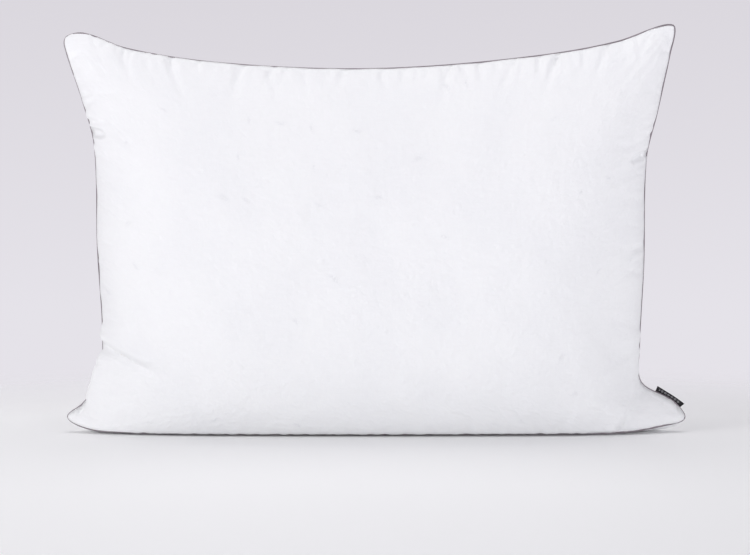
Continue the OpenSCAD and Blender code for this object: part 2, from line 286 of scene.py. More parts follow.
def set_cambric_behaviour(cloth, cut_key):
    """Stiffness, damping and air pressure that let the shell fill and crease like tight cotton."""
    thread = cloth.settings
    thread.quality, thread.mass, thread.air_damping = 5, 0.15, 1
    thread.tension_stiffness = thread.compression_stiffness = 30
    thread.shear_stiffness, thread.bending_stiffness = 5, 0.1
    thread.tension_damping = thread.compression_damping = thread.shear_damping = 5
    thread.bending_damping = 0.5
    thread.use_pressure, thread.uniform_pressure_force = True, 5
    thread.vertex_group_mass, thread.pin_stiffness = "seam", 1
    thread.rest_shape_key = cut_key
    thread.effector_weights.gravity = 0
    touch = cloth.collision_settings
    touch.distance_min, touch.collision_quality, touch.use_self_collision = 1 * MM, 1, False


def finer(grid):
    """Halves a grid's cells with a smooth curve through its points."""
    for axis in (0, 1):
        p = np.moveaxis(grid, axis, 0)
        padded = np.concatenate([2 * p[:1] - p[1:2], p, 2 * p[-1:] - p[-2:-1]])
        middles = (9 * (p[:-1] + p[1:]) - padded[:-3] - padded[3:]) / 16
        out = np.empty((2 * len(p) - 1,) + p.shape[1:])
        out[::2], out[1::2] = p, middles
        grid = np.moveaxis(out, 0, axis)
    return grid


# ---- Puckers, folds and lumps that the stitching and the filling leave in the cloth ----
def valley(across):
    """A rounded valley with low ridges beside it."""
    return (1 - 0.9 * across**2) * np.exp(-across**2)


def pucker(along, depth_in, at, deep, width, reach, lean=0.0):
    """A gather that starts at a seam and runs out into the face. All sizes are in metres."""
    across = (along - at - lean * depth_in) / (width * (1 + 0.6 * depth_in / reach))
    run_out = (1 - np.exp(-depth_in / (2.5 * MM))) * np.exp(-(1.6 * depth_in / reach)**1.5)
    return -deep * valley(across) * run_out


def crease(x, z, start, end, deep, width, step=0.0):
    """A fold from start to end, in millimetres; step lifts its left side and lowers its right."""
    a, b = np.array(start) * MM, np.array(end) * MM
    length = np.linalg.norm(b - a)
    way = (b - a) / length
    share = ((x - a[0]) * way[0] + (z - a[1]) * way[1]) / length
    across = ((z - a[1]) * way[0] - (x - a[0]) * way[1]) / (width * MM)
    fade = np.exp(-((share - 0.5) / 0.5)**6)
    return (-deep * valley(across) + step * across * np.exp(-across**2)) * MM * fade


# The deeper gathers under the top seam, in millimetres: [place along it, depth, width, reach, lean]
TOP_GATHERS = [(-297, 4.5, 4.25, 34, 0.25), (-262, 2.4, 3.825, 26, -0.2), (-240, 4.2, 5.95, 52, 0.3),
               (-205, 2.1, 4.25, 30, 0.1), (-153, 4.5, 5.95, 48, -0.25), (-120, 1.8, 4.25, 30, 0.2),
               (-78, 2.4, 5.1, 36, 0.1), (-30, 1.8, 4.25, 30, -0.2), (14, 2.1, 5.1, 34, 0.15),
               (58, 1.8, 4.25, 30, -0.1), (95, 4.2, 5.1, 46, -0.2), (128, 2.1, 4.25, 30, 0.2),
               (172, 4.2, 5.1, 40, -0.35), (200, 2.4, 4.25, 32, 0.1), (224, 4.8, 4.675, 54, -0.3),
               (252, 2.1, 3.825, 26, 0.2), (283, 4.5, 4.675, 40, -0.3)]

# Folds of each face: [start, end, depth, width, step]. All are in millimetres, and a start or end is
# given along from the pillow's middle and up from the floor.
FRONT_FOLDS = [((-336, 118), (-262, 87), 0.0, 9.0, 9.0), ((-336, 110), (-262, 80), 3.6, 3.6, 0.0),
               ((-322, 103), (-286, 92), 1.8, 4.5, 1.4), ((-270, 88), (-244, 74), 1.8, 8.0, 0.0),
               ((-342, 370), (-314, 371), 2.2, 4.5, 2.4), ((-320, 372), (-280, 340), 2.2, 5.5, 2.6),
               ((-346, 360), (-318, 354), 6.5, 5.0, 0.0), ((330, 334), (302, 324), 5.0, 5.0, 0.0),
               ((318, 322), (276, 300), 1.0, 8.0, 0.4), ((312, 344), (282, 336), 0.9, 7.0, 0.3),
               ((316, 302), (284, 286), 0.7, 8.0, 0.2), ((316, 223), (290, 211), 1.2, 6.0, 0.6),
               ((317, 62), (284, 4), 1.6, 8.0, -5.0), ((234, 44), (214, 10), 0.8, 6.0, 0.3),
               ((110, 32), (104, 4), 0.8, 6.0, 0.3), ((278, 62), (256, 10), 0.9, 8.0, 0.4),
               ((-282, 58), (-300, 14), 0.9, 8.0, 0.4), ((-225, 40), (-212, 10), 0.7, 6.0, 0.2),
               ((-60, 26), (-66, 6), 0.6, 5.0, 0.2)]
BACK_FOLDS = [((-300, 120), (-240, 80), 2.0, 8.0, 1.2), ((318, 330), (280, 318), 2.4, 7.0, 0.3),
              ((-318, 372), (-276, 346), 1.8, 8.0, 0.8), ((300, 110), (250, 70), 2.2, 9.0, 1.0),
              ((316, 210), (282, 204), 1.1, 7.0, 0.4)]

# How far the front rolls out over the piping along each side, in millimetres: [place, amount]. A place is
# a height at the left and right, and a distance from the pillow's middle at the top and bottom.
ROLL_LEFT = [(0, 0.5), (24, 0.6), (34, 3.0), (44, 13.0), (62, 16.0), (84, 13.0), (99, 7.0), (106, 3.4),
             (114, 5.0), (122, 3.2), (136, 1.6), (200, 1.3), (300, 1.5), (318, 2.6), (336, 4.2),
             (350, 2.8), (358, -0.5), (365, 4.5), (374, 5.2), (390, 2.6), (420, 1.6), (490, 1.2)]
ROLL_RIGHT = [(0, 0.5), (30, 1.0), (44, 0.8), (54, 1.0), (62, 4.0), (76, 4.5), (92, 4.5), (118, 4.0),
              (134, 2.0), (200, 1.6), (208, 0.6), (216, 2.4), (260, 2.0), (300, 2.2), (322, 1.0),
              (330, -0.4), (338, 2.6), (360, 2.4), (420, 1.7), (490, 1.3)]
ROLL_TOP = [(-370, 1.0), (-350, 1.2), (-330, 2.4), (-304, 2.6), (-294, 1.0), (-284, 1.2), (-270, 2.3),
            (-228, 2.4), (-222, 1.2), (-214, 2.2), (-120, 1.9), (0, 2.1), (120, 2.0), (230, 2.3),
            (300, 2.2), (350, 1.4), (370, 1.0)]
ROLL_BOTTOM = [(-370, 0.5), (-330, 1.5), (-250, 1.8), (0, 2.0), (240, 1.8), (330, 1.4), (370, 0.5)]
BACK_ROLL = 1.8


def rolled(grid, seam, side, u, v):
    """The cloth stands out over the piping, more in some places than in others."""
    moved, outward = np.zeros_like(grid), np.zeros_like(grid)
    for (i, j), out in zip(seam.places, seam.out):
        outward[i, j] = out
    edges = [(ROLL_LEFT, grid[0, :, 2], outward[0], u * CUT_LENGTH, True),
             (ROLL_RIGHT, grid[-1, :, 2], outward[-1], (1 - u) * CUT_LENGTH, True),
             (ROLL_BOTTOM, grid[:, 0, 0], outward[:, 0], v * CUT_HEIGHT, False),
             (ROLL_TOP, grid[:, -1, 0], outward[:, -1], (1 - v) * CUT_HEIGHT, False)]
    for knots, place, out, depth_in, upright in edges:
        at, amount = np.array(knots).T
        amount = np.interp(place / MM, at, amount) if side < 0 else BACK_ROLL
        uneven = 0.5 * rolling(place[:, None], 26 * MM, 31) + 0.35 * rolling(place[:, None], 13 * MM, 32)
        push = out * ((amount + uneven) * MM)[:, None]
        hill = (depth_in / ROLL_REACH) * np.exp(1 - depth_in / ROLL_REACH)
        moved += (push[None] if upright else push[:, None]) * hill[..., None]
    return grid + moved


# Room that each face leaves for the allowance and its stitching, in millimetres: [more room, from, to],
# where it grows between two distances from the seam
ALLOWANCE_ROOM = [(1.8, 0, 1.8), (0.7, 1.8, 5), (3.0, 8, 30)]


def kept_apart(grid, side, from_seam):
    """Leaves room between the two faces for the seam allowance and its stitching."""
    middle = seam_patch(FINE_U, FINE_V)
    across = surface_normals(middle) * -side
    gap = ((grid - middle) * across).sum(-1)
    need = sum(room * MM * smoothstep(near * MM, far * MM, from_seam) for room, near, far in ALLOWANCE_ROOM)
    return grid + across * np.maximum(0, need - gap)[..., None]


def clear_of_overlock(grid, seam, side, u, v):
    """Lifts the face over the overlock at the four ears, where the shell is thin."""
    ear, spread, clear, excess = 70 * MM, 3 * MM, 0.7 * MM, 1.15
    rows_in = (3, 4.5, 6, 7.5, 8.8)
    face_out = np.array([0, side, 0])
    edge = np.concatenate([seam.loop(-inward * MM, side * OVERLOCK_FACE) for inward in rows_in])
    for at_u in (0, 1):
        for at_v in (0, 1):
            tip = grid[-at_u, -at_v]
            near = (np.abs(u - at_u) * CUT_LENGTH < ear) & (np.abs(v - at_v) * CUT_HEIGHT < ear)
            close = edge[np.linalg.norm(edge - tip, axis=1) < 1.2 * ear]
            points = grid[near]
            gap = np.linalg.norm(points[:, None, ::2] - close[None, :, ::2], axis=2)
            short = np.maximum(0, side * (close[None, :, 1] - points[:, None, 1]) + clear)
            lift = (excess * short * np.exp(-(gap / spread)**2)).max(1)
            grid[near] = points + face_out * lift[:, None]
    return grid


def covered_piping(seam):
    """How far the cloth's rim reaches out over the piping: most at the top left, and least underneath."""
    usual, least, most = 0.45, -0.9, 1.15
    x, z = seam.ring[:, 0], seam.ring[:, 2]
    top = smoothstep(400 * MM, 430 * MM, z)
    underneath = 1 - smoothstep(5 * MM, 12 * MM, z)
    cover = usual - 0.6 * top * x / (350 * MM) - 1.1 * underneath + 0.6 * rolling(seam.ring, 34 * MM, 71)
    return np.clip(cover, least, most) * MM


def body_share(u):
    """1 along the pillow's body and 0 at its ears."""
    return smoothstep(0.06, 0.14, u) * smoothstep(0.06, 0.14, 1 - u)


def evened(grid, passes):
    """Evens out the finest creases of the simulation, away from the rim."""
    for _ in range(passes):
        around = (grid[:-2, 1:-1] + grid[2:, 1:-1] + grid[1:-1, :-2] + grid[1:-1, 2:]) / 4
        grid[1:-1, 1:-1] += (around - grid[1:-1, 1:-1]) * 0.5
    return grid


def stitching_gathers(u, v, named, seed):
    """Gathers along all four seams: the deep ones at the top, and small scattered ones all round."""
    rng = np.random.default_rng(seed)
    length, height = CUT_LENGTH * 0.98, CUT_HEIGHT * 0.97
    along_u, along_v = (u - 0.5) * length, v * height
    moved = np.zeros_like(u)
    for at, deep, width, reach, lean in named:
        moved += pucker(along_u, (1 - v) * height, at * MM, deep * MM, width * MM, reach * MM, lean)
    # Each side: along it, in from it, the first and last place, and the depth and reach in millimetres
    sides = [(along_u, (1 - v) * height, -0.35, 0.35, 2.0, 32), (along_u, v * height, -0.33, 0.33, 0.7, 20),
             (along_v, u * length, 0.06, 0.46, 1.5, 50), (along_v, (1 - u) * length, 0.06, 0.46, 1.3, 44)]
    for along, depth_in, first, last, deep, reach in sides:
        at = first
        while at < last:
            size = rng.uniform(0.4, 1.3)
            moved += pucker(along, depth_in, at, deep * size * MM, rng.uniform(3.2, 6.0) * MM,
                            rng.uniform(0.6, 1.4) * reach * MM, rng.uniform(-0.55, 0.55))
            at += rng.uniform(11, 24) * MM
    return moved


def tip_ripples(u, v, seed):
    """Fine folds that fan out from the two upper tips."""
    high, moved = 0.42 * MM, np.zeros_like(u)
    for side, (at_u, folds) in enumerate([(0, 21), (1, 24)]):
        dx, dz = np.abs(u - at_u) * CUT_LENGTH, (1 - v) * CUT_HEIGHT
        r, angle = np.hypot(dx, dz), np.arctan2(dz, dx + 1e-9)
        wander = rolling(np.stack([dx, dz], -1), 60 * MM, seed + side)
        window = smoothstep(6 * MM, 28 * MM, r) * (1 - smoothstep(55 * MM, 120 * MM, r))
        moved += high * np.sin(angle * folds + 1.5 * wander) * window
    return moved


def surface_normals(grid):
    return unit(np.cross(np.gradient(grid, axis=0), np.gradient(grid, axis=1)))


def filling_lumps(u, v, from_seam, seed):
    """Soft hills in the cloth over uneven filling, in three sizes."""
    on_cut = np.stack([u * CUT_LENGTH, v * CUT_HEIGHT], -1)
    hills = [(0.55 * MM, 75 * MM), (0.22 * MM, 24 * MM), (0.06 * MM, 11 * MM)]
    lumps = sum(high * rolling(on_cut, apart, seed + k) for k, (high, apart) in enumerate(hills))
    return lumps * smoothstep(10 * MM, 60 * MM, from_seam)


def creased(grid, side, named, folds, seed, from_seam):
    """A face with its gathers, ripples, folds and lumps, which fade towards the floor."""
    u, v = shares(FINE_U, FINE_V)
    x, z = grid[..., 0], grid[..., 2]
    moved = stitching_gathers(u, v, named, seed) + tip_ripples(u, v, seed + 40)
    for start, end, deep, width, step in folds:
        moved += crease(x, z, start, end, deep, width, step)
    moved += filling_lumps(u, v, from_seam, seed + 60)
    moved *= smoothstep(0, 3 * MM, from_seam)
    fade = 14 * MM if side > 0 else 6 * MM
    return grid + surface_normals(grid) * -side * (moved * smoothstep(0, fade, z))[..., None]


def settled(grid, side):
    """A face with its lower part sunk towards the floor; the front bends under and stays clear of it."""
    u, v = shares(FINE_U, FINE_V)
    up = v * CUT_HEIGHT
    sag, sag_height, front_clear = 0.75, 24 * MM, 3.8 * MM
    sink, sink_height = 1.4 * MM, 6 * MM
    z, lowest = grid[..., 2].copy(), FLOOR_GAP
    if side < 0:
        z -= sag * z * np.exp(-z / sag_height) * smoothstep(0, 12 * MM, up)
        lowest = FLOOR_GAP + front_clear * smoothstep(4 * MM, 12 * MM, up) * body_share(u)
    z -= sink * np.exp(-np.maximum(z, 0) / sink_height) * off_rim(u, v)
    return np.stack([grid[..., 0], grid[..., 1], np.maximum(z, lowest)], -1)


def with_rim(grid, seam, rim):
    """A face with its outermost points moved onto a ring around the seam."""
    for (i, j), point in zip(seam.places, rim):
        grid[i, j] = point
    return grid


def dressed(grid, seam, side, named, folds, seed):
    """A face with its folds, its rim laid on the piping; side is -1 for the front and 1 for the back."""
    u, v = shares(FINE_U, FINE_V)
    from_seam = np.minimum(np.minimum(u, 1 - u) * CUT_LENGTH, np.minimum(v, 1 - v) * CUT_HEIGHT)
    grid = with_rim(finer(evened(grid.copy(), 10)), seam, seam.ring)
    grid = rolled(grid, seam, side, u, v)
    grid = creased(grid, side, named, folds, seed, from_seam)
    grid = kept_apart(grid, side, from_seam)
    grid = settled(grid, side)
    grid = clear_of_overlock(grid, seam, side, u, v)
    cover = covered_piping(seam)
    return with_rim(grid, seam, seam.loop(cover, side * np.sqrt(PIPING_R**2 - cover**2)))


# ---- Shaders ----
class Value:
    """A shader value, so that sums of values are written as plain expressions."""

    def __init__(self, shader, socket):
        self.shader, self.socket = shader, socket

    def maths(self, operation, *values):
        return self.shader.node("ShaderNodeMath", {"operation": operation}, dict(enumerate(values)))

    def __add__(self, other):
        return self.maths("ADD", self, other)

    def __sub__(self, other):
        return self.maths("SUBTRACT", self, other)

    def __rsub__(self, other):
        return self.maths("SUBTRACT", other, self)

    def __mul__(self, other):
        return self.maths("MULTIPLY", self, other)

    def __truediv__(self, other):
        return self.maths("DIVIDE", self, other)

    def __pow__(self, other):
        return self.maths("POWER", self, other)

    __radd__, __rmul__ = __add__, __mul__

    def sin(self):
        return self.maths("SINE", self)

    def size(self):
        return self.maths("ABSOLUTE", self)

    def fraction(self):
        return self.maths("FRACT", self)

    def below(self, limit):
        return self.maths("LESS_THAN", self, limit)

    def bell(self):
        """1 at nought, falling away smoothly on both sides."""
        return self.maths("EXPONENT", self * self * -1)

    def eased(self, low, high):
        return self.shader.node("ShaderNodeMapRange", {"interpolation_type": "SMOOTHSTEP"},
                                {"Value": self, "From Min": low, "From Max": high})


SOCKETS = {"base_color": "Base Color", "roughness": "Roughness", "normal": "Normal",
           "sheen_weight": "Sheen Weight", "sheen_roughness": "Sheen Roughness",
           "specular": "Specular IOR Level"}


class Shader:
    """A material around one Principled shader, with short calls for the nodes that feed it."""

    def __init__(self, name, **constants):
        self.material = bpy.data.materials.new(name)
        self.material.use_nodes = True
        self.tree = self.material.node_tree
        self.surface = self.tree.nodes["Principled BSDF"]
        for socket, value in constants.items():
            self.surface.inputs[SOCKETS[socket]].default_value = value

    def feed(self, socket, value):
        if isinstance(value, Value):
            self.tree.links.new(value.socket, socket)
        else:
            socket.default_value = value

    def node(self, kind, settings, inputs, output=0):
        made = self.tree.nodes.new(kind)
        for name, value in settings.items():
            setattr(made, name, value)
        for name, value in inputs.items():
            self.feed(made.inputs[name], value)
        return Value(self, made.outputs[output])

    def paint(self, **inputs):
        for socket, value in inputs.items():
            self.feed(self.surface.inputs[SOCKETS[socket]], value)
        return self.material

    def flat_cloth(self, layer):
        """The place on the flat cloth, then its two parts across and along, all in metres."""
        place = self.node("ShaderNodeUVMap", {"uv_map": layer}, {})
        return place, self.part(place, 0), self.part(place, 1)

    def space(self):
        return self.node("ShaderNodeTexCoord", {}, {}, output="Object")

    def part(self, vector, axis):
        return self.node("ShaderNodeSeparateXYZ", {}, {0: vector}, output=axis)

    def noise(self, vector, scale, detail=2.0):
        return self.node("ShaderNodeTexNoise", {}, {"Vector": vector, "Scale": scale, "Detail": detail})

    def stretched(self, vector, x, y, z=1.0):
        return self.node("ShaderNodeVectorMath", {"operation": "MULTIPLY"}, {0: vector, 1: (x, y, z)})

    def mix(self, share, first, second):
        """Two colours mixed; 6, 7 and 2 are the Mix node's colour sockets."""
        inputs = {"Factor": share, 6: first, 7: second}
        return self.node("ShaderNodeMix", {"data_type": "RGBA"}, inputs, output=2)

    def bump(self, height, depth, strength=1.0, **under):
        inputs = {"Height": height, "Distance": depth, "Strength": strength}
        return self.node("ShaderNodeBump", {}, inputs | under)


def ridges(across, pitch):
    """Rounded ridges, one pitch apart: 0 between them and 1 on top."""
    return (across * (math.pi / pitch)).sin().size()


def plain_weave(across, along, pitch):
    """Threads that pass over and under each other, one pitch apart."""
    warp = (across * (math.pi / pitch)).sin()
    weft = (along * (math.pi / pitch)).sin()
    return warp * weft * 0.5 + warp.size() * 0.3 + weft.size() * 0.3


def feather_marks(shader, place):
    """Quills that show faintly through the cloth: 0 to 1, as short curved strokes in some of the cells."""
    cell, half_length, half_width, bend = 48 * MM, 5.0 * MM, 2.0 * MM, 0.6
    share_empty = 0.72
    scattered = {"Vector": place, "Scale": 1 / cell, "Randomness": 0.9}
    spread = shader.node("ShaderNodeTexVoronoi", {"voronoi_dimensions": "2D"}, scattered, output="Position")
    chance = shader.node("ShaderNodeTexVoronoi", {"voronoi_dimensions": "2D"}, scattered, output="Color")
    offset = shader.node("ShaderNodeVectorMath", {"operation": "SUBTRACT"}, {0: place, 1: spread})
    dx, dy = shader.part(offset, 0), shader.part(offset, 1)
    turn = shader.part(chance, 0) * (2 * math.pi)
    cos, sin = (turn + math.pi / 2).sin(), turn.sin()
    size = shader.part(chance, 2) * 0.9 + 0.7
    along = (dx * cos + dy * sin) / (size * half_length)
    across = (dy * cos - dx * sin) / (size * half_width) + along * along * bend
    fray = shader.noise(place, 420, 3.0).eased(0.34, 0.62)
    return along.bell() * across.bell() * fray * (1 - shader.part(chance, 1).below(share_empty))


def cambric():
    """Fine white down-proof cotton, calendered on its outer face."""
    cloth = Shader("cambric", roughness=0.72, sheen_weight=0.12, sheen_roughness=0.5, specular=0.25)
    place, across, along = cloth.flat_cloth("cut")
    weave = plain_weave(across, along, 0.42 * MM)
    slubs = (cloth.noise(cloth.stretched(place, 1500, 40), 1.0)
             + cloth.noise(cloth.stretched(place, 40, 1500), 1.0))
    crumple = cloth.noise(place, 125, 3.0)
    quills = feather_marks(cloth, place)
    patches = cloth.noise(place, 9, 2.0).eased(0.35, 0.65)
    white = cloth.mix(patches, (0.865, 0.873, 0.875, 1), (0.842, 0.851, 0.857, 1))
    threads = cloth.mix(slubs.eased(0.7, 1.3) * 0.35, white, (0.890, 0.897, 0.896, 1))
    shaded = cloth.mix(quills * 0.20, threads, (0.60, 0.61, 0.66, 1))
    fine = cloth.bump(weave + slubs * 0.4, 0.05 * MM, 0.35)
    height = cloth.bump(crumple + quills * 0.3, 1.25 * MM, Normal=fine)
    return cloth.paint(base_color=shaded, roughness=0.66 + slubs * 0.06, normal=height)


def bias_tape():
    """Mauve-grey satin cut on the bias, so its threads run across the piping at a slant."""
    tape = Shader("bias_tape", roughness=0.5, sheen_weight=0.2, sheen_roughness=0.35, specular=0.4)
    place, around, along = tape.flat_cloth("tape")
    satin = ridges(around + along, 0.38 * MM) + ridges(around - along, 0.5 * MM) * 0.4
    pull = tape.noise(tape.stretched(place, 180, 60), 1.0, 2.0)
    colour = tape.mix(pull.eased(0.3, 0.7), (0.21, 0.18, 0.20, 1), (0.29, 0.25, 0.275, 1))
    woven = tape.mix(satin * 0.22, colour, (0.13, 0.11, 0.125, 1))
    relief = tape.bump(satin + pull * 1.5, 0.07 * MM, 0.7)
    return tape.paint(base_color=woven, roughness=0.42 + pull * 0.2, normal=relief)


def twisted(name, colour, painted_groove_shade, pitch, roughness=0.6):
    """A twisted yarn or cord: slanting plies with a fine fuzz, and painted shade in the grooves between
    them.
    """
    yarn = Shader(name, roughness=roughness, sheen_weight=0.25, sheen_roughness=0.5)
    _, around, along = yarn.flat_cloth("yarn")
    plies = ridges(around + along, pitch)
    fuzz = yarn.noise(yarn.space(), 6000, 2.0)
    # Painted shade: the grooves between the plies take the darker colour, where the bump is lowest.
    shaded_yarn_colour = yarn.mix(plies.eased(0.0, 0.5), painted_groove_shade, colour)
    relief = yarn.bump(plies + fuzz * 0.3, 0.12 * MM, 0.8)
    return yarn.paint(base_color=shaded_yarn_colour, roughness=roughness - 0.1 + fuzz * 0.2, normal=relief)


def damask_black():
    """Black label tape with a row of small woven lozenges on the leaf that shows."""
    tape = Shader("label_black", roughness=0.6, specular=0.25)
    place, along, across = tape.flat_cloth("tape")
    ribs = ridges(along, 0.25 * MM) * 0.6 + ridges(across, 0.25 * MM) * 0.4
    cell = 4.2 * MM
    step = ((along / cell).fraction() - 0.5) * cell
    from_leaf = across - (LEAF_MIDDLE + 0.2 * MM)
    lozenge = step.size() * 0.9 + from_leaf.size()
    ring = (lozenge - 1.25 * MM).size().below(0.27 * MM)
    heart = lozenge.below(0.45 * MM)
    margin = (along - LABEL_LENGTH / 2).size().below(LABEL_LENGTH / 2 - 3.6 * MM)
    motif = (ring + heart) * margin * 0.8
    fuzz = tape.noise(place, 900, 2.0)
    black = tape.mix(fuzz, (0.006, 0.006, 0.007, 1), (0.016, 0.015, 0.017, 1))
    colour = tape.mix(motif * 0.85, black, (0.50, 0.49, 0.51, 1))
    relief = tape.bump(ribs + motif * 1.2, 0.06 * MM, 0.8)
    return tape.paint(base_color=colour, roughness=0.5 + fuzz * 0.15, normal=relief)


def satin_white():
    """Soft white care-label ribbon with a woven border."""
    ribbon = Shader("label_white", roughness=0.42, sheen_weight=0.15, sheen_roughness=0.3)
    place, across, along = ribbon.flat_cloth("tape")
    ribs = ridges(along, 0.35 * MM)
    border = (across - CARE_WIDTH / 2).size() / (CARE_WIDTH / 2)
    edge = border.eased(0.86, 0.9)
    streaks = ribbon.noise(ribbon.stretched(place, 900, 30), 1.0)
    white = ribbon.mix(streaks, (0.80, 0.80, 0.83, 1), (0.88, 0.88, 0.90, 1))
    colour = ribbon.mix(edge * 0.5, white, (0.66, 0.66, 0.70, 1))
    relief = ribbon.bump(ribs + edge * 2, 0.08 * MM, 0.7)
    return ribbon.paint(base_color=colour, roughness=0.36 + streaks * 0.2, normal=relief)


def loose_down():
    """Down clusters and small feathers, packed against the shell, with painted shade in the hollows between
    the clusters.
    """
    down = Shader("down", roughness=0.95, sheen_weight=0.5, sheen_roughness=0.6)
    place = down.space()
    tufts = down.node("ShaderNodeTexVoronoi", {"feature": "SMOOTH_F1"}, {"Vector": place, "Scale": 90.0})
    barbs = down.noise(place, 900, 5.0)
    # Painted shade: darker towards the rims of the tufts' cells, the hollows of the bump; the barbs' noise
    # adds random tone.
    colour = down.mix((tufts + barbs * 0.6).eased(0.3, 0.9), (0.90, 0.89, 0.86, 1), (0.74, 0.72, 0.68, 1))
    relief = down.bump(barbs - tufts * 1.5, 1.5 * MM, 0.8)
    return down.paint(base_color=colour, roughness=0.85 + barbs * 0.1, normal=relief)


# ---- Building pieces ----
def piece(name, points, faces, material, layer, corner_uv, slot, *nodes):
    """A smooth mesh that rides on the pillow and takes the place of its plain nodes."""
    made = plain_object(name, points, faces)
    mesh = made.data
    mesh.polygons.foreach_set("use_smooth", [True] * len(mesh.polygons))
    uv = mesh.uv_layers.new(name=layer)
    uv.data.foreach_set("uv", np.asarray(corner_uv, np.float32).ravel())
    mesh.materials.append(material)
    mesh.update()
    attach(made, "root")
    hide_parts(*nodes)
    return made


def panel(name, node, grid, seam, side, material):
    """A face of the shell, with its allowance turned in behind the piping."""
    turn_in, rim_width = 1.9 * MM, 0.6 * MM
    ids = np.arange(grid[..., 0].size).reshape(grid.shape[:2])
    quads = grid_quads(ids, flip=side > 0)
    rim = np.array([ids[i, j] for i, j in seam.places])
    count = len(rim)
    turned = [seam.loop(-inward, side * PANEL_LAYER) for inward in (turn_in, ALLOWANCE)]
    loops = [rim, ids.size + np.arange(count), ids.size + count + np.arange(count)]
    points = np.concatenate([grid.reshape(-1, 3)] + turned)
    bands = []
    for near, far in zip(loops[:-1], loops[1:]):
        band = np.stack([near, far, np.roll(far, -1), np.roll(near, -1)], -1)
        bands.append(band[:, ::-1] if side > 0 else band)
    faces = np.concatenate([quads] + bands)
    u, v = shares(FINE_U, FINE_V)
    cut = np.stack([u * CUT_LENGTH, v * CUT_HEIGHT], -1).reshape(-1, 2)
    inset = np.array([CUT_LENGTH, CUT_HEIGHT]) / 2
    outer = [inset + (cut[rim] - inset) * (1 + reach / inset) for reach in (rim_width, ALLOWANCE)]
    per_point = np.concatenate([cut] + outer)
    made = piece(name, points, faces, material, "cut", per_point[faces.ravel()], "cambric", node)
    return made


def seam_tube(name, seam, section, material, layer, slot, *nodes):
    """A closed tube around the whole seam, with a cross-section of (out, back) points."""
    count, m = len(seam.ring), len(section)
    wobble = 1 + 0.02 * rolling(seam.ring, 9 * MM, 5)
    rings = [seam.loop(out * wobble, back * wobble) for out, back in section]
    points = np.stack(rings, 1).reshape(-1, 3)
    k, s = (a.ravel() for a in np.meshgrid(np.arange(count), np.arange(m), indexing="ij"))
    k_next, s_next = (k + 1) % count, (s + 1) % m
    faces = np.stack([k * m + s, k * m + s_next, k_next * m + s_next, k_next * m + s], -1)
    closed = np.array(section + section[:1])
    girth = np.r_[0, np.cumsum(np.linalg.norm(np.diff(closed, axis=0), axis=1))]
    corners = np.stack([girth[s], seam.run[k], girth[s + 1], seam.run[k],
                        girth[s + 1], seam.run[k + 1], girth[s], seam.run[k + 1]], -1)
    return piece(name, points, faces, material, layer, corners, slot, *nodes)


def arc(radius, start, end, steps):
    """Points of an arc between two angles in degrees."""
    angles = np.radians(np.linspace(start, end, steps + 1))
    return [(radius * math.cos(a), radius * math.sin(a)) for a in angles]


def piping(seam, material):
    """The bias strip: wrapped round the cord, with its two edges caught in the seam."""
    room = PIPING_R - BIAS_T - 0.05 * MM
    neck = math.degrees(math.asin((SLIT + BIAS_T) / PIPING_R))
    slot = math.degrees(math.asin(SLIT / room))
    outside = SLIT + BIAS_T
    section = (arc(PIPING_R, neck - 180, 180 - neck, 14) + [(-ALLOWANCE, outside), (-ALLOWANCE, SLIT)]
               + arc(room, 180 - slot, slot - 180, 8) + [(-ALLOWANCE, -SLIT), (-ALLOWANCE, -outside)])
    return seam_tube("piping_strip", seam, section, material, "tape", "bias_tape", "piping_cover")


def piping_cord(seam, material):
    room, sides = PIPING_R - BIAS_T - 0.25 * MM, 8
    section = arc(room, 0, 360, sides)[:-1]
    return seam_tube("piping_core", seam, section, material, "yarn", "cord", "piping_cord")


def overlock(seam, material):
    """The overlock as a thin channel round the raw edges."""
    lap, end, outer = 6 * MM, 8.5 * MM, OVERLOCK_FACE
    inner, far = outer - OVERLOCK_WALL, end + OVERLOCK_WALL
    section = [(-lap, outer), (-far, outer), (-far, -outer), (-lap, -outer),
               (-lap, -inner), (-end, -inner), (-end, inner), (-lap, inner)]
    return seam_tube("overlocked_edge", seam, section, material, "yarn", "thread", "overlock_stitch")


def stitch(start, end, up, radius, bow):
    """One bowed stitch of thread from start to end: points, faces and corner UVs."""
    shape = [(0, 0.35), (0.12, 0.9), (0.5, 1), (0.88, 0.9), (1, 0.35)]
    sides = 6
    way = unit(end - start)
    side = unit(np.cross(way, up))
    lift = np.cross(side, way)
    turn = np.arange(sides) * 2 * math.pi / sides
    rings = [start + (end - start) * t + lift * bow * math.sin(math.pi * t)
             + radius * r * (np.cos(turn)[:, None] * side + np.sin(turn)[:, None] * lift) for t, r in shape]
    faces, uv = [], []
    length = np.linalg.norm(end - start)
    for a in range(len(shape) - 1):
        for b in range(sides):
            c = (b + 1) % sides
            faces.append((a * sides + b, a * sides + c, (a + 1) * sides + c, (a + 1) * sides + b))
            low, high = shape[a][0] * length, shape[a + 1][0] * length
            near, far = b * radius, (b + 1) * radius
            uv.append([(near, low), (far, low), (far, high), (near, high)])
    for ring, order in ((0, -1), (len(shape) - 1, 1)):
        cap = [ring * sides + b for b in range(sides)][::order]
        for quad in ((cap[0], cap[1], cap[2], cap[3]), (cap[0], cap[3], cap[4], cap[5])):
            faces.append(quad)
            uv.append([(0, 0)] * 4)
    return np.concatenate(rings), faces, uv


def stitch_row(name, stitches, material, *nodes):
    """Many stitches as one piece of thread."""
    points, faces, corners, base = [], [], [], 0
    for start, end, up, radius, bow in stitches:
        p, f, uv = stitch(start, end, up, radius, bow)
        points.append(p)
        faces += [tuple(base + i for i in quad) for quad in f]
        corners += uv
        base += len(p)
    return piece(name, np.concatenate(points), faces, material, "yarn", corners, "thread", *nodes)


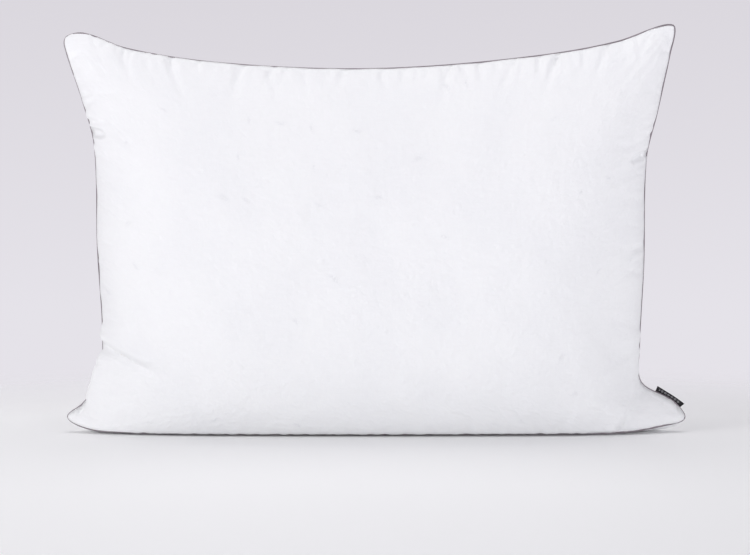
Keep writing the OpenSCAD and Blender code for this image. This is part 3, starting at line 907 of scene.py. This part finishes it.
def lockstitch(seam, side):
    """The stitches that show on one side of the allowance."""
    length, gap, above, bow = 2.5 * MM, 0.35 * MM, 0.3 * MM, 0.05 * MM
    made, at = [], 0.0
    while at + length < seam.run[-1]:
        ends = []
        for distance in (at, at + length - gap):
            centre, out, back = seam.at(distance)
            ends.append(centre - out * STITCH_IN * 0.98 + back * side * (PANEL_LAYER + above))
        made.append((ends[0], ends[1], back * side, THREAD_R, bow))
        at += length
    return made


def on_panel(grid, normals, u, v):
    """A point of a face and its outward direction, at shares u and v."""
    i, j = u * (grid.shape[0] - 1), v * (grid.shape[1] - 1)
    a, b = min(int(i), grid.shape[0] - 2), min(int(j), grid.shape[1] - 2)
    f, g = i - a, j - b
    weights = [((a, b), (1 - f) * (1 - g)), ((a + 1, b), f * (1 - g)),
               ((a, b + 1), (1 - f) * g), ((a + 1, b + 1), f * g)]
    return sum(grid[k] * w for k, w in weights), unit(sum(normals[k] * w for k, w in weights))


def heights_beside_seam(back, normals, levels):
    """How high the back stands just inside its left seam, at each of the levels."""
    return [on_panel(back, normals, BESIDE_SEAM / CUT_LENGTH, v)[0][2] for v in levels]


def closing_seam(back, normals):
    """Whipped stitches that close the opening for the filling, on the back beside the left seam."""
    box_low, box_high = (np.array(c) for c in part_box("closing_stitch"))
    near, far, climb, apart, margin = 1.6 * MM, 5.2 * MM, 2.2 * MM, 4.4 * MM, 2 * MM
    thread_r, bow = 0.28 * MM, 0.25 * MM
    levels = np.linspace(0.2, 0.9, 400)
    heights = heights_beside_seam(back, normals, levels)
    made = []
    for z in np.arange(box_low[2] + margin, box_high[2] - margin, apart):
        v = float(np.interp(z, heights, levels))
        low, up = on_panel(back, normals, near / CUT_LENGTH, v)
        high, up_high = on_panel(back, normals, far / CUT_LENGTH, v + climb / CUT_HEIGHT)
        made.append((low + up * 0.3 * MM, high + up_high * 0.25 * MM, up + up_high, thread_r, bow))
    return made


def ribbon(name, rows, thickness, material, slot, node, flat, held, rests_on, width):
    """A tape of some thickness through rows of points; each row runs across it: [points, directions]."""
    middle, up = np.array([r[0] for r in rows]), np.array([r[1] for r in rows])
    n, m = middle.shape[:2]
    faces_up, faces_down = middle + up * thickness / 2, middle - up * thickness / 2
    ids = np.arange(n * m).reshape(n, m)
    rim = [(i, 0) for i in range(n - 1)] + [(n - 1, j) for j in range(m - 1)]
    rim += [(i, m - 1) for i in range(n - 1, 0, -1)] + [(0, j) for j in range(m - 1, 0, -1)]
    rim = np.array([ids[place] for place in rim])
    walls = np.stack([rim, np.roll(rim, -1), np.roll(rim, -1) + n * m, rim + n * m], -1)
    faces = np.concatenate([grid_quads(ids, True), grid_quads(ids + n * m), walls[:, ::-1]])
    across = np.r_[0, np.cumsum(np.linalg.norm(np.diff(middle, axis=1), axis=2).mean(0))]
    along = np.linspace(0, width, n)
    uv = np.stack(np.meshgrid(along, across, indexing="ij"), -1).reshape(-1, 2)
    uv = np.concatenate([uv, uv])
    points = np.concatenate([faces_up.reshape(-1, 3), faces_down.reshape(-1, 3)])
    made = piece(name, points, faces, material, "tape", uv[faces.ravel()], slot, node)
    return made


def woven_label(seam, material):
    """The folded tape at the lower right ear, straighter than the seam and a little curled."""
    stations, straighter, droop_depth, off_chord = 29, 0.85, 0.5 * MM, 1.2 * MM
    path = np.array(LABEL_PATH) * MM
    tangent = unit(np.gradient(path, axis=0))
    start = seam.run[seam.right_start] + LABEL_FROM_TIP
    rows = []
    ends = [seam.at(start + LABEL_LENGTH * end) for end in (0, 1)]
    for share in np.linspace(0, 1, stations):
        centre, out, back = seam.at(start + LABEL_LENGTH * share)
        chord = ends[0][0] * (1 - share) + ends[1][0] * share + off_chord * out
        straight = straighter * smoothstep(-1.0 * MM, LABEL_OUT, path[:, :1])
        droop = droop_depth * math.sin(2.2 * math.pi * share + 0.6)
        curl = droop * np.clip(path[:, 0] / LABEL_OUT, 0, 1)**2
        along = centre + (chord - centre) * straight
        points = along + out * path[:, :1] + back * (path[:, 1] + curl)[:, None]
        rows.append((points, out * -tangent[:, 1:] + back * tangent[:, :1]))
    across = float(LABEL_RUN[-1])
    return ribbon("side_label", rows, LABEL_T, material, "label_black", "woven_label",
                  (LABEL_LENGTH, across), "folded", ["piping_strip"], LABEL_LENGTH)


def care_label(back, normals, material):
    """A satin ribbon caught in the left seam, lying down over the back."""
    middle_z = (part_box("care_label")[0][2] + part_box("care_label")[1][2]) / 2
    rows, stations, steps, levels = [], 21, 27, np.linspace(0, 1, 200)
    off_cloth, curl = 0.35 * MM, 1.3 * MM
    v_middle = float(np.interp(middle_z, heights_beside_seam(back, normals, levels), levels))
    for share in np.linspace(-0.5, 0.5, stations):
        v = v_middle + share * CARE_WIDTH / CUT_HEIGHT
        points, ups = [], []
        for reach in np.linspace(0, CARE_LENGTH, steps):
            point, up = on_panel(back, normals, (reach + 0.4 * MM) / CUT_LENGTH, v)
            lift = off_cloth + curl * smoothstep(20 * MM, CARE_LENGTH, reach)
            points.append(point + up * lift)
            ups.append(up)
        rows.append((np.array(points), np.array(ups)))
    return ribbon("care_ribbon", rows, CARE_T, material, "label_white", "care_label",
                  (CARE_WIDTH, CARE_LENGTH), "laid", ["back_shell"], CARE_WIDTH)


def filling(front, back, material):
    """The down, a lumpy body that fills the shell a little inside it."""
    edge, lump_height, floor_gap = 3, 0.8 * MM, 2.5 * MM
    sides = []
    for grid, side in ((front, -1), (back, 1)):
        inward = surface_normals(grid) * side
        lumps = lump_height * rolling(grid, 22 * MM, 9)
        sides.append((grid + inward * (FILL_DEPTH + lumps)[..., None])[edge:-edge, edge:-edge])
    for grid in sides:
        grid[..., 2] = np.maximum(grid[..., 2], floor_gap)
    n, m = sides[0].shape[:2]
    ids = np.arange(n * m).reshape(n, m)
    rim = np.array([ids[place] for place in rim_order(n - 1, m - 1)])
    band = np.stack([rim, rim + n * m, np.roll(rim, -1) + n * m, np.roll(rim, -1)], -1)
    faces = np.concatenate([grid_quads(ids), grid_quads(ids + n * m, True), band])
    points = np.concatenate([g.reshape(-1, 3) for g in sides])
    uv = points[faces.ravel()][:, [0, 2]]
    made = piece("filling", points, faces, material, "place", uv, "down", "down_fill")
    return made


# ---- The studio ----
def studio_world():
    """A soft grey all round, palest below the horizon and darkest overhead."""
    world = bpy.data.worlds.new("studio")
    bpy.context.scene.world = world
    world.use_nodes = True
    tree = world.node_tree
    place = tree.nodes.new("ShaderNodeTexCoord")
    split = tree.nodes.new("ShaderNodeSeparateXYZ")
    spread = tree.nodes.new("ShaderNodeMapRange")
    ramp = tree.nodes.new("ShaderNodeValToRGB")
    spread.inputs["From Min"].default_value, spread.inputs["From Max"].default_value = -0.10, 0.50
    low, level, high = (0.785, 0.765, 0.815, 1), (0.690, 0.665, 0.712, 1), (0.34, 0.335, 0.36, 1)
    stops = [(0.0, low), (0.30, level), (0.50, level), (1.0, high)]
    for at, _ in stops[1:-1]:
        ramp.color_ramp.elements.new(at)
    for element, (at, colour) in zip(ramp.color_ramp.elements, stops):
        element.position, element.color = at, colour
    tree.links.new(place.outputs["Generated"], split.inputs[0])
    tree.links.new(split.outputs["Z"], spread.inputs["Value"])
    tree.links.new(spread.outputs[0], ramp.inputs["Fac"])
    tree.links.new(ramp.outputs[0], tree.nodes["Background"].inputs["Color"])


def studio_floor():
    """A pale floor that fades into the background towards its rim."""
    centre, radius, turns = (0, -0.60), 1.3, 96
    rings = [0.15, 0.4, 0.7, 1.0]
    points = [(centre[0], centre[1], 0)]
    for share in rings:
        points += [(centre[0] + x, centre[1] + y, 0) for x, y in arc(radius * share, 0, 360, turns)[:-1]]
    faces = [(0, 1 + k, 1 + (k + 1) % turns) for k in range(turns)]
    for r in range(len(rings) - 1):
        a, b = 1 + r * turns, 1 + (r + 1) * turns
        faces += [(a + k, b + k, b + (k + 1) % turns, a + (k + 1) % turns) for k in range(turns)]
    mesh = bpy.data.meshes.new("floor")
    mesh.from_pydata(points, [], faces)
    floor = bpy.data.objects.new("floor", mesh)
    bpy.context.scene.collection.objects.link(floor)
    paint = Shader("floor", base_color=(0.945, 0.950, 0.945, 1), roughness=0.6, specular=0.2)
    place = paint.space()
    dx, dy = paint.part(place, 0) - centre[0], paint.part(place, 1) - centre[1]
    rim = ((dx * dx + dy * dy)**0.5 / radius).eased(0.62, 0.99)
    grain = paint.noise(place, 400, 2.0)
    clear = paint.tree.nodes.new("ShaderNodeBsdfTransparent")
    mix = paint.tree.nodes.new("ShaderNodeMixShader")
    paint.feed(mix.inputs[0], rim)
    paint.tree.links.new(paint.surface.outputs[0], mix.inputs[1])
    paint.tree.links.new(clear.outputs[0], mix.inputs[2])
    paint.tree.links.new(mix.outputs[0], paint.tree.nodes["Material Output"].inputs["Surface"])
    mesh.materials.append(paint.paint(normal=paint.bump(grain, 0.05 * MM, 0.3)))


def area_light(name, place, aim, size, power, colour):
    light = bpy.data.lights.new(name, "AREA")
    light.shape, light.size, light.energy, light.color = "DISK", size, power, colour
    lamp = bpy.data.objects.new(name, light)
    lamp.location = place
    lamp.rotation_euler = (Vector(aim) - Vector(place)).to_track_quat("-Z", "Y").to_euler()
    bpy.context.scene.collection.objects.link(lamp)


def studio_lights():
    aim = (0, 0, 0.22)
    area_light("key", (-2.3, -1.2, 1.1), aim, 0.9, 22.5, (1.0, 0.99, 1.0))
    area_light("fill", (1.3, -2.6, 0.35), aim, 1.6, 29, (0.965, 0.960, 1.0))
    area_light("overhead", (0, 0.5, 2.3), (0, -0.3, 0), 2.0, 22, (1.0, 0.99, 1.0))


def studio_camera():
    lens = bpy.data.cameras.new("camera")
    lens.lens = 99.6
    camera = bpy.data.objects.new("camera", lens)
    camera.location = (0.0006, -2.45, 0.40)
    aim = Vector((0.0006, 0, 0.185))
    camera.rotation_euler = (aim - camera.location).to_track_quat("-Z", "Y").to_euler()
    bpy.context.scene.collection.objects.link(camera)
    bpy.context.scene.camera = camera
    bpy.context.scene.view_settings.view_transform = "Standard"


def sew_pillow():
    front, back = start_shape()
    front, back = fill_with_down(front, back)
    seam = Seam(FINE_U, FINE_V)
    front_face = dressed(front, seam, -1, TOP_GATHERS, FRONT_FOLDS, 11)
    back_face = dressed(back, seam, 1, TOP_GATHERS[::-3], BACK_FOLDS, 12)
    cotton = cambric()
    panel("front_shell", "front_panel", front_face, seam, -1, cotton)
    panel("back_shell", "back_panel", back_face, seam, 1, cotton)
    filling(front_face[::2, ::2], back_face[::2, ::2], loose_down())
    piping(seam, bias_tape())
    # The second, darker colour of each yarn is painted shade for the grooves between its plies.
    piping_cord(seam, twisted("cord", (0.80, 0.79, 0.75, 1), (0.45, 0.44, 0.41, 1), 1.2 * MM, 0.85))
    thread = twisted("thread", (0.80, 0.80, 0.83, 1), (0.50, 0.50, 0.54, 1), 0.22 * MM, 0.5)
    stitch_row("needle_stitches", lockstitch(seam, -1), thread, "needle_thread")
    stitch_row("bobbin_stitches", lockstitch(seam, 1), thread, "bobbin_thread")
    overlock(seam, thread)
    normals = surface_normals(back_face) * -1
    stitch_row("whipped_stitches", closing_seam(back_face, normals), thread, "closing_stitch")
    woven_label(seam, damask_black())
    care_label(back_face, normals, satin_white())


studio_world()
studio_floor()
studio_lights()
studio_camera()
sew_pillow()
